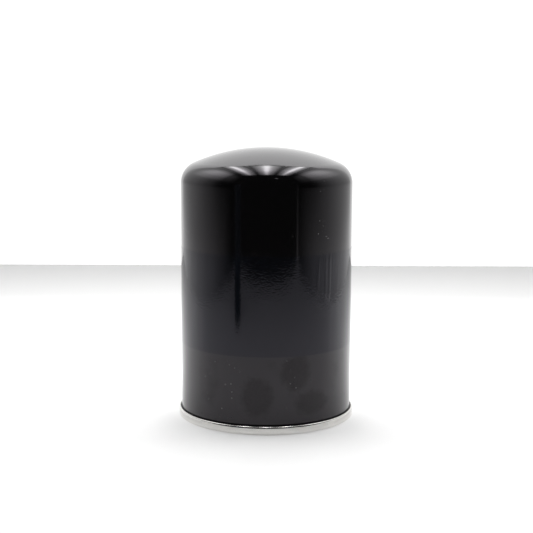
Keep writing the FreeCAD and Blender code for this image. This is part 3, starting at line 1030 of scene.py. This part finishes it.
# --- Mounting end ---
@dataclass
class MountingEnd:
    """The gasket, the threaded plate and the anti-drain membrane."""

    gasket_inner: float = 31.0 * MM
    gasket_outer: float = 35.5 * MM
    gasket_height: float = 5.4 * MM
    ceiling: float = 5.78 * MM
    plate: float = 3.2 * MM
    dish_floor: float = 3.53 * MM
    hub_top: float = 13.0 * MM
    minor: float = 8.7 * MM
    major: float = 9.525 * MM
    pitch: float = 1.5875 * MM
    inlets: int = 8
    inlet_radius: float = 3.5 * MM
    inlet_circle: float = 20.0 * MM
    hub_radius: float = 13.0 * MM
    lip: float = 31.4 * MM
    inlet_facets: int = 64
    thread_turns: int = 8
    thread_steps: int = 64
    thread_share: float = 0.42

    def make_gasket(self) -> None:
        """Builds the sealing ring, with the shallow groove round its sealing face."""
        inner, outer, soft = self.gasket_inner, self.gasket_outer, 0.6 * MM
        middle = (inner + outer) / 2
        section = [
            Corner(inner, self.gasket_height, 0.25 * MM),
            Corner(inner, 0.0, soft),
            Corner(middle - 0.45 * MM, 0.0, 0.1 * MM),
            Corner(middle - 0.3 * MM, 0.18 * MM, 0.1 * MM),
            Corner(middle + 0.3 * MM, 0.18 * MM, 0.1 * MM),
            Corner(middle + 0.45 * MM, 0.0, 0.1 * MM),
            Corner(outer, 0.0, soft),
            Corner(outer, self.gasket_height, 0.25 * MM),
        ]
        Piece("mounting_gasket", Body.HOUSING, GASKET_RUBBER).dress(Turning.solid(section))

    def plate_section(self) -> Section:
        """The threaded plate's section, before its holes and thread are cut.

        Returns:
            The closed section.
        """
        ceiling, top, floor = self.ceiling, self.ceiling + self.plate, self.dish_floor
        dish, foot, rim, cut = 25.5 * MM, 28.8 * MM, 42.0 * MM, 0.85 * MM
        soft = 0.8 * MM
        return [
            Corner(self.minor, floor + cut),
            Corner(self.minor + cut, floor, 0.15 * MM),
            Corner(dish, floor, soft * 3),
            Corner(foot, ceiling, soft),
            Corner(rim, ceiling, 0.6 * MM),
            Corner(rim, top, 0.3 * MM),
            Corner(foot - 0.9 * MM, top, soft * 3),
            Corner(dish - 0.9 * MM, floor + self.plate, soft),
            Corner(self.hub_radius, floor + self.plate, 1.2 * MM),
            Corner(self.hub_radius, self.hub_top, 0.35 * MM),
            Corner(self.minor + cut / 2, self.hub_top, 0.1 * MM),
            Corner(self.minor, self.hub_top - cut / 2),
        ]

    def inlet_tools(self) -> Thing:
        """The round punches that cut the oil inlets, as one object.

        Returns:
            The punches.
        """
        bm = bmesh.new()
        for i in range(self.inlets):
            turn = Matrix.Rotation(TURN * i / self.inlets, 4, "Z")
            place = turn @ Matrix.Translation((self.inlet_circle, 0, self.dish_floor))
            size = {"radius1": self.inlet_radius, "radius2": self.inlet_radius, "depth": 6 * self.plate}
            bmesh.ops.create_cone(bm, cap_ends=True, segments=self.inlet_facets, matrix=place, **size)
        return finish_mesh(bm, "inlet_punches")

    def thread_tool(self) -> Thing:
        """The helical V that cuts the thread.

        Returns:
            The tap.
        """
        half = self.pitch * self.thread_share
        bm = bmesh.new()
        low = self.dish_floor - 1.2 * self.pitch
        crest, root, flat = self.minor - 0.5 * MM, self.major, 0.1 * MM
        outline = ((crest, -half * 1.6), (root, -flat), (root, flat), (crest, half * 1.6))
        face = bm.faces.new([bm.verts.new((r, 0, low + z)) for r, z in outline])
        Turning.helix(bm, [face], self.pitch / self.thread_steps, self.thread_turns, self.thread_steps)
        return finish_mesh(bm, "thread_tap")

    def make_plate(self) -> None:
        """Builds the threaded plate, and cuts its oil inlets and thread."""
        work = Piece("tapping_plate", Body.HOUSING, PLATE_STEEL)
        piece = finish_mesh(Turning.solid(self.plate_section()), "tapping_plate_skin")
        carve(piece, self.inlet_tools())
        carve(piece, self.thread_tool())
        work.paint(piece)
        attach(piece, Body.HOUSING.value)

    def make_membrane(self) -> None:
        """Builds the rubber check valve, from its clamped ring to its lip."""
        top, seat, lip = 14.6 * MM, self.ceiling + self.plate, self.lip
        skirt = self.hub_top - 2.4 * MM
        inner, outer = 13.05 * MM, 14.7 * MM
        section = [
            Corner(10.2 * MM, self.hub_top, 0.2 * MM),
            Corner(inner, self.hub_top),
            Corner(inner, skirt, 0.3 * MM),
            Corner(outer, skirt, 0.3 * MM),
            Corner(outer + 0.9 * MM, skirt + 0.7 * MM, 0.8 * MM),
            Corner(lip - 2.0 * MM, seat + 0.2 * MM, 1 * MM),
            Corner(lip - 0.9 * MM, seat, 0.2 * MM),
            Corner(lip - 0.1 * MM, seat, 0.1 * MM),
            Corner(lip, seat + 0.45 * MM, 0.2 * MM),
            Corner(lip - 1.8 * MM, seat + 1.1 * MM, 1.5 * MM),
            Corner(outer + 1.2 * MM, self.hub_top - 0.2 * MM, 1 * MM),
            Corner(15.4 * MM, self.hub_top + 0.5 * MM, 0.3 * MM),
            Corner(15.4 * MM, top, 0.3 * MM),
            Corner(10.2 * MM, top, 0.2 * MM),
        ]
        work = Piece("anti_drain_membrane", Body.DRAIN, MEMBRANE_RUBBER)
        ends = (Body.HOUSING, Body.DRAIN)
        work.stretch(Turning.solid(section), ends, self.hub_top - 1.5 * MM, seat + 0.6 * MM)

    def build(self) -> None:
        """Builds every piece of the mounting end."""
        self.make_gasket()
        self.make_plate()
        self.make_membrane()


# --- Springs ---
@dataclass
class CoilSpring:
    """A round-wire coil between two bodies. Its rounding and seating are shares of the wire."""

    node: str
    wire: float
    radius: float
    turns: int
    ends: Ends
    top_first: bool
    steps: int = 48
    facets: int = 20
    rounding: float = 0.12
    seating: float = 0.55

    def build(self) -> None:
        """Builds the coil in its CAD node's space, with ground ends rounded off."""
        low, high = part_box(self.node)
        rise = high.z - low.z - self.wire
        start = Matrix.Translation((self.radius, 0, low.z + self.wire / 2))
        place = start @ Matrix.Rotation(math.pi / 2, 4, "X")
        bm = bmesh.new()
        bmesh.ops.create_circle(bm, cap_ends=True, segments=self.facets, radius=self.wire / 2, matrix=place)
        Turning.helix(bm, list(bm.faces), rise / (self.steps * self.turns), self.turns, self.steps)
        caps = [f for f in bm.faces if len(f.verts) > 4]
        rim = list({e for f in caps for e in f.edges})
        bmesh.ops.bevel(
            bm,
            geom=rim,
            offset=self.wire * self.rounding,
            segments=3,
            profile=0.5,
            affect="EDGES",
            material=-1,
        )
        inset = self.wire * self.seating
        heights = (high.z - inset, low.z + inset) if self.top_first else (low.z + inset, high.z - inset)
        Piece(self.node, self.ends[0], SPRING_WIRE).stretch(bm, self.ends, *heights)


# --- Pieces that keep their CAD shape ---
@dataclass
class Cartridge:
    """The pleated element and its valve, whose CAD shapes are kept and painted."""

    finishes: dict[str, Finish] = field(
        default_factory=lambda: {
            "seam_compound": SEAM_PASTE,
            "lower_end_cap": TINPLATE,
            "upper_end_cap": TINPLATE,
            "media_seam_clip": TINPLATE,
            "lower_potting": POTTING,
            "upper_potting": POTTING,
            "pleated_media": FilterPaper(),
            "centre_tube": TUBE_STEEL,
            "bypass_cage": TUBE_STEEL,
            "bypass_seat_plate": TUBE_STEEL,
            "bypass_poppet": GlassFilledNylon(),
            "bypass_seal": MEMBRANE_RUBBER,
        }
    )

    def build(self) -> None:
        """Paints each kept piece."""
        for node, finish in self.finishes.items():
            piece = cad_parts[node]
            piece.data.materials.clear()
            piece.data.materials.append(Paintbox.mix(finish))
            LOG.info("%s: keeps its CAD shape", node)


# --- Studio ---
@dataclass
class LightTent:
    """A white table inside an open-fronted light tent with three lamp bars under its roof."""

    half_width: float = 0.39
    back: float = 0.547
    table_front: Stops = ((-0.39, -0.495), (0.0, -0.512), (0.39, -0.475))
    wall_front: float = -0.405
    roof: float = 0.80
    bar_spacing: float = 0.213
    bar_half_width: float = 0.1
    bar_strength: float = 16.0
    bar_drop: float = 0.005
    bar_profile: Stops = (
        (0.0, 1.0), (0.12, 0.95), (0.22, 0.55), (0.4, 0.32), (0.65, 0.2), (0.85, 0.1), (1.0, 0.0),
    )
    bar_fade: Stops = (
        (-0.34, 0.0), (-0.28, 0.4), (-0.13, 0.7), (0.03, 1.0), (0.22, 0.8), (0.5, 0.5), (0.547, 0.0),
    )
    low_levels: Stops = ((0.0, 0.93), (0.03, 0.9), (0.06, 0.6), (0.09, 0.3), (0.13, 0.0))
    left_low_depth: Stops = (
        (-0.405, 0.03), (-0.32, 0.15), (-0.28, 0.26), (-0.235, 0.34), (-0.19, 0.48), (-0.16, 0.6),
        (-0.1, 0.75), (0.0, 1.0), (0.2, 1.25), (0.547, 1.45),
    )
    right_low_depth: Stops = (
        (-0.405, 0.12), (-0.33, 0.25), (-0.25, 0.45), (-0.17, 0.68), (-0.1, 0.8), (0.0, 1.0),
        (0.2, 1.25), (0.547, 1.45),
    )
    high_levels: Stops = (
        (0.0, 0.0), (0.03, 0.05), (0.06, 0.15), (0.09, 0.42), (0.13, 0.64), (0.16, 0.68), (0.23, 0.8),
        (0.3, 0.9), (0.4, 1.0), (0.8, 1.2),
    )
    high_depth: Stops = (
        (-0.405, 0.02), (-0.235, 0.06), (-0.19, 0.12), (-0.16, 0.2), (-0.13, 0.33), (-0.1, 0.48),
        (-0.046, 0.64), (0.0, 0.88), (0.09, 1.1), (0.3, 1.05), (0.4, 1.1), (0.547, 1.3),
    )
    pool_levels: Stops = (
        (0.24, 0.0), (0.3, 0.2), (0.35, 1.0), (0.42, 1.7), (0.48, 2.6), (0.56, 3.0), (0.65, 2.9),
        (0.71, 1.6), (0.8, 0.5),
    )
    pool_depth: Stops = (
        (-0.35, 0.05), (-0.287, 0.13), (-0.211, 0.17), (-0.159, 0.5), (-0.087, 0.75), (0.0, 0.95),
        (0.085, 1.0), (0.167, 0.82), (0.22, 0.6), (0.274, 0.3), (0.35, 0.06), (0.42, 0.0),
    )
    edge_levels: Stops = ((0.0, 0.9), (0.02, 0.42), (0.08, 0.15), (0.3, 0.08))
    edge_depth: Stops = ((-0.488, 0.0), (-0.48, 1.0), (-0.462, 1.0), (-0.454, 0.2), (-0.405, 0.3))
    # Painted light and shade: the table's colour along its depth, darkest at the back.
    table_painted_light_and_shade: Stops = (
        (-0.512, 0.8), (-0.2, 0.86), (-0.1, 0.84), (-0.055, 0.83), (0.0, 0.94), (0.1, 0.98),
        (0.25, 0.79), (0.37, 0.56), (0.547, 0.39),
    )
    post_place: Triple = (-0.193, -0.273, 0.1)
    post_radius: float = 0.0215
    post_shades: tuple[Triple, Triple] = ((0.001, 0.002, 0.005), (0.002, 0.004, 0.008))
    post_glow: Triple = (0.043, 0.05, 0.062)
    lamp_place: Triple = (0.175, -0.622, 0.8)
    lamp_radius: float = 0.022
    lamp_levels: Span = (1.5, 6.0)
    back_levels: Stops = ((0.0, 1.5), (0.08, 1.3), (0.15, 1.12), (0.26, 1.35), (0.48, 1.76), (0.8, 2.5))
    room: float = 0.042
    backdrop: float = 1.1

    def panel(self, name: str, corners: list[Triple]) -> Thing:
        """A flat four-cornered panel of the studio.

        Args:
            name: The panel's name.
            corners: Its corners in order.

        Returns:
            The panel.
        """
        bm = bmesh.new()
        bm.faces.new([bm.verts.new(c) for c in corners])
        return self.prop(bm, name)

    def prop(self, bm: Mesh, name: str) -> Thing:
        """Turns a mesh into an object of the studio.

        Args:
            bm: The mesh, which this call frees.
            name: The object's name.

        Returns:
            The object.
        """
        prop = finish_mesh(bm, name)
        return prop

    def levels(self, graph: NodeGraph, letter: str, stops: Stops) -> Socket:
        """A brightness that changes along one axis.

        Args:
            graph: The node graph to draw in.
            letter: The axis.
            stops: Pairs of place in metres and brightness.

        Returns:
            The brightness.
        """
        low, high = stops[0][0], stops[-1][0]
        top = max(level for _, level in stops)
        share = graph.span(graph.axis(letter), low, high)
        scaled = [((at - low) / (high - low), level / top) for at, level in stops]
        return graph.maths("MULTIPLY", graph.ramp(share, scaled), top)

    def glow(self, name: str, *layers: dict[str, Stops]) -> Material:
        """A light-giving cloth whose brightness changes along its axes.

        Args:
            name: The material's name.
            layers: Lights that add up. Each has, for an axis letter, pairs of place in metres and brightness,
                and its axes multiply.

        Returns:
            The material.
        """
        graph = NodeGraph(name)
        graph.nodes.remove(graph.shader)
        total: Socket | float = 0.0
        for layer in layers:
            light: Socket | float = 1.0
            for letter, stops in layer.items():
                light = graph.maths("MULTIPLY", light, self.levels(graph, letter, stops))
            total = graph.maths("ADD", total, light)
        emission = graph.nodes.new("ShaderNodeEmission")
        graph.join(total, emission.inputs["Strength"])
        graph.links.new(emission.outputs[0], graph.nodes["Material Output"].inputs["Surface"])
        return graph.material

    def hang(self, panel: Thing, cloth: Material) -> None:
        """Dresses a panel or prop that the filter mirrors and the camera doesn't see."""
        panel.data.materials.append(cloth)
        panel.visible_camera = False

    def make_table(self) -> None:
        """Lays the white table top, with painted light and shade in its colour along its depth."""
        front = [(x, y, 0.0) for x, y in self.table_front]
        rear = [(x, self.back, 0.0) for x in (self.half_width, -self.half_width)]
        table = self.panel("table", front + rear)
        graph = NodeGraph("table_paper")
        # The base colour carries painted light and shade along the table's depth.
        graph.set(Base_Color=self.levels(graph, "Y", self.table_painted_light_and_shade), Roughness=0.9)
        table.data.materials.append(graph.material)

    def make_walls(self) -> None:
        """Hangs the side walls, the back and the roof, and tapes the tent's right front edge."""
        w, b, f, top = self.half_width, self.back, self.wall_front, self.roof
        high = {"Z": self.high_levels, "Y": self.high_depth}
        pool = {"Z": self.pool_levels, "Y": self.pool_depth}
        left = self.glow("left_cloth", {"Z": self.low_levels, "Y": self.left_low_depth}, high, pool)
        right = self.glow("right_cloth", {"Z": self.low_levels, "Y": self.right_low_depth}, high, pool)
        back = self.glow("back_cloth", {"Z": self.back_levels})
        roof = self.glow("roof_cloth", {"Y": self.high_depth})
        for name, x, cloth in (("left_wall", -w, left), ("right_wall", w, right)):
            self.hang(self.panel(name, [(x, f, 0), (x, b, 0), (x, b, top), (x, f, top)]), cloth)
        self.hang(self.panel("back_wall", [(-w, b, 0), (w, b, 0), (w, b, top), (-w, b, top)]), back)
        self.hang(self.panel("tent_roof", [(-w, f, top), (w, f, top), (w, b, top), (-w, b, top)]), roof)
        tape = self.glow("edge_tape", {"Z": self.edge_levels, "Y": self.edge_depth})
        a, c = self.edge_depth[0][0], self.edge_levels[-1][0]
        self.hang(self.panel("front_edge", [(w, a, 0), (w, f, 0), (w, f, c), (w, a, c)]), tape)

    def make_post(self) -> None:
        """Stands a dark lamp post to the left of the open front."""
        bm = bmesh.new()
        place = Matrix.Translation(self.post_place)
        sizes = {"radius1": self.post_radius, "radius2": self.post_radius, "depth": 2 * self.post_place[2]}
        bmesh.ops.create_cone(bm, cap_ends=True, segments=32, matrix=place, **sizes)
        graph = NodeGraph("post_paint")
        mottle = graph.blend(graph.noise(0.05), *self.post_shades)
        graph.set(Base_Color=mottle, Roughness=0.9, Emission_Color=self.post_glow, Emission_Strength=1.0)
        self.hang(self.prop(bm, "lamp_post"), graph.material)

    def make_bars(self) -> None:
        """Fixes the three lamp bars under the roof, each brightest along its middle."""
        (low, _), (high, _) = self.bar_fade[0], self.bar_fade[-1]
        z = self.roof - self.bar_drop
        half = self.bar_half_width
        strong = [(at, level * self.bar_strength) for at, level in self.bar_profile]
        places = {"left_bar": -self.bar_spacing, "middle_bar": 0.0, "right_bar": self.bar_spacing}
        for name, x in places.items():
            before = [(x - at * half, level) for at, level in strong[:0:-1]]
            after = [(x + at * half, level) for at, level in strong]
            lamp = self.glow(f"{name}_lamp", {"X": before + after, "Y": self.bar_fade})
            a, b = x - half, x + half
            self.hang(self.panel(name, [(a, low, z), (b, low, z), (b, high, z), (a, high, z)]), lamp)

    def make_lamp(self) -> None:
        """Fixes a small lamp to the ceiling in front of the tent."""
        bm = bmesh.new()
        place = Matrix.Translation(self.lamp_place)
        bmesh.ops.create_circle(bm, cap_ends=True, segments=32, radius=self.lamp_radius, matrix=place)
        x, reach = self.lamp_place[0], self.lamp_radius
        rim, middle = self.lamp_levels
        light = self.glow("room_light", {"X": [(x - reach, rim), (x, middle), (x + reach, rim)]})
        self.hang(self.prop(bm, "room_lamp"), light)

    def make_room(self) -> None:
        """Fills the room outside the tent: white where the camera looks past the table, dark elsewhere."""
        world = bpy.data.worlds.new("room")
        world.use_nodes = True
        bpy.context.scene.world = world
        nodes, links = world.node_tree.nodes, world.node_tree.links
        path = nodes.new("ShaderNodeLightPath")
        dark, white = nodes["Background"], nodes.new("ShaderNodeBackground")
        dark.inputs["Color"].default_value = (1, 1, 1, 1)
        dark.inputs["Strength"].default_value = self.room
        white.inputs["Color"].default_value = (1, 1, 1, 1)
        white.inputs["Strength"].default_value = self.backdrop
        mix = nodes.new("ShaderNodeMixShader")
        links.new(path.outputs["Is Camera Ray"], mix.inputs["Fac"])
        links.new(dark.outputs[0], mix.inputs[1])
        links.new(white.outputs[0], mix.inputs[2])
        links.new(mix.outputs[0], nodes["World Output"].inputs["Surface"])

    def build(self) -> None:
        """Builds the whole studio."""
        self.make_table()
        self.make_walls()
        self.make_post()
        self.make_bars()
        self.make_lamp()
        self.make_room()
        bpy.context.scene.view_settings.view_transform = "Standard"


@dataclass
class Viewpoint:
    """The camera in front of the open tent."""

    place: Triple = (0.00009, -0.5853, 0.1636)
    down: float = math.radians(8.2745)
    roll: float = 0.0039
    lens: float = 75.32
    sensor: float = 36.0
    nearest: float = 0.01

    def build(self) -> None:
        """Sets up the scene's camera."""
        data = bpy.data.cameras.new("camera")
        data.lens, data.sensor_width = self.lens, self.sensor
        data.clip_start = self.nearest
        camera = bpy.data.objects.new("camera", data)
        turn = Matrix.Rotation(math.pi / 2 - self.down, 4, "X") @ Matrix.Rotation(self.roll, 4, "Z")
        camera.matrix_world = Matrix.Translation(self.place) @ turn
        bpy.context.scene.collection.objects.link(camera)
        bpy.context.scene.camera = camera


def main() -> None:
    """Builds the camera, the filter's visible pieces and the studio."""
    logging.basicConfig(level=logging.INFO, format="%(message)s")
    Viewpoint().build()
    Can().build()
    MountingEnd().build()
    springs = [
        CoilSpring("support_spring", 2.4 * MM, 17 * MM, 4, (Body.HOUSING, Body.ELEMENT), True),
        CoilSpring("bypass_spring", 1 * MM, 5.5 * MM, 5, (Body.ELEMENT, Body.BYPASS), False),
    ]
    for spring in springs:
        spring.build()
    Cartridge().build()
    LightTent().build()


if __name__ == "__main__":
    main()
